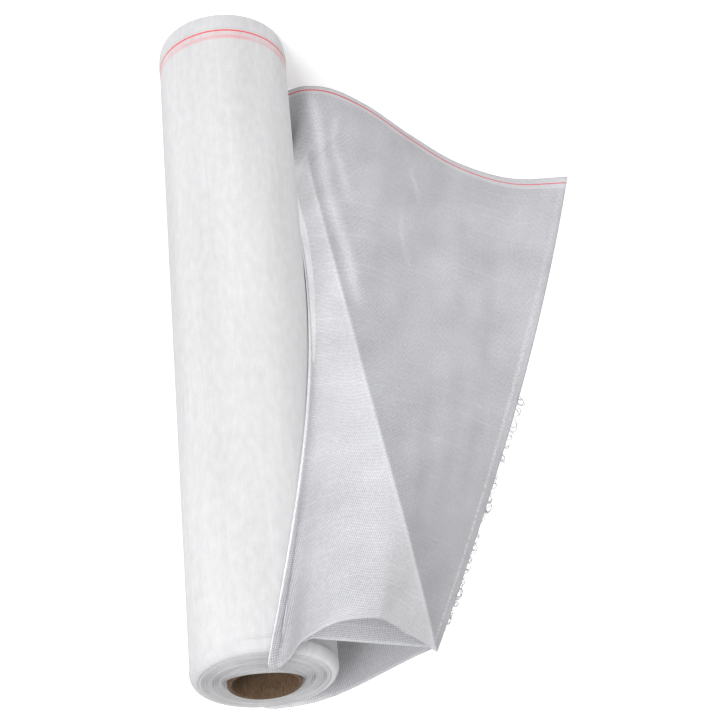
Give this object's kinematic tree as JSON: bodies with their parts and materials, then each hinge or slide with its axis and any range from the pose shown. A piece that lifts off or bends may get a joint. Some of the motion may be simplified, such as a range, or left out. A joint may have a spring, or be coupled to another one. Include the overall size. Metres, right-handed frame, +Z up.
{
  "type": "roll of insect screen mesh",
  "caption": "Pale woven insect screen wound on a cardboard core, standing on end, its loose end folded once against the roll and spread out beside it.",
  "frame": {"origin": "on the floor, under the middle of the outline of the roll and its loose end", "axes": "+Z up along the roll's axis, from the marked selvedge on the floor to the open end of the core; the roll stands towards +X, and the loose end reaches towards -X and +Y"},
  "size_m": [0.39, 0.3224, 0.624],
  "materials": {
    "screen_mesh": "pale grey coated yarn in an open plain weave, with a slight sheen",
    "core_tube": "bare brown spiral-wound board, matt"
  },
  "bodies": {
    "root": {"screen_mesh": "screen_mesh", "core_tube": "core_tube"}
  },
  "joints": []
}
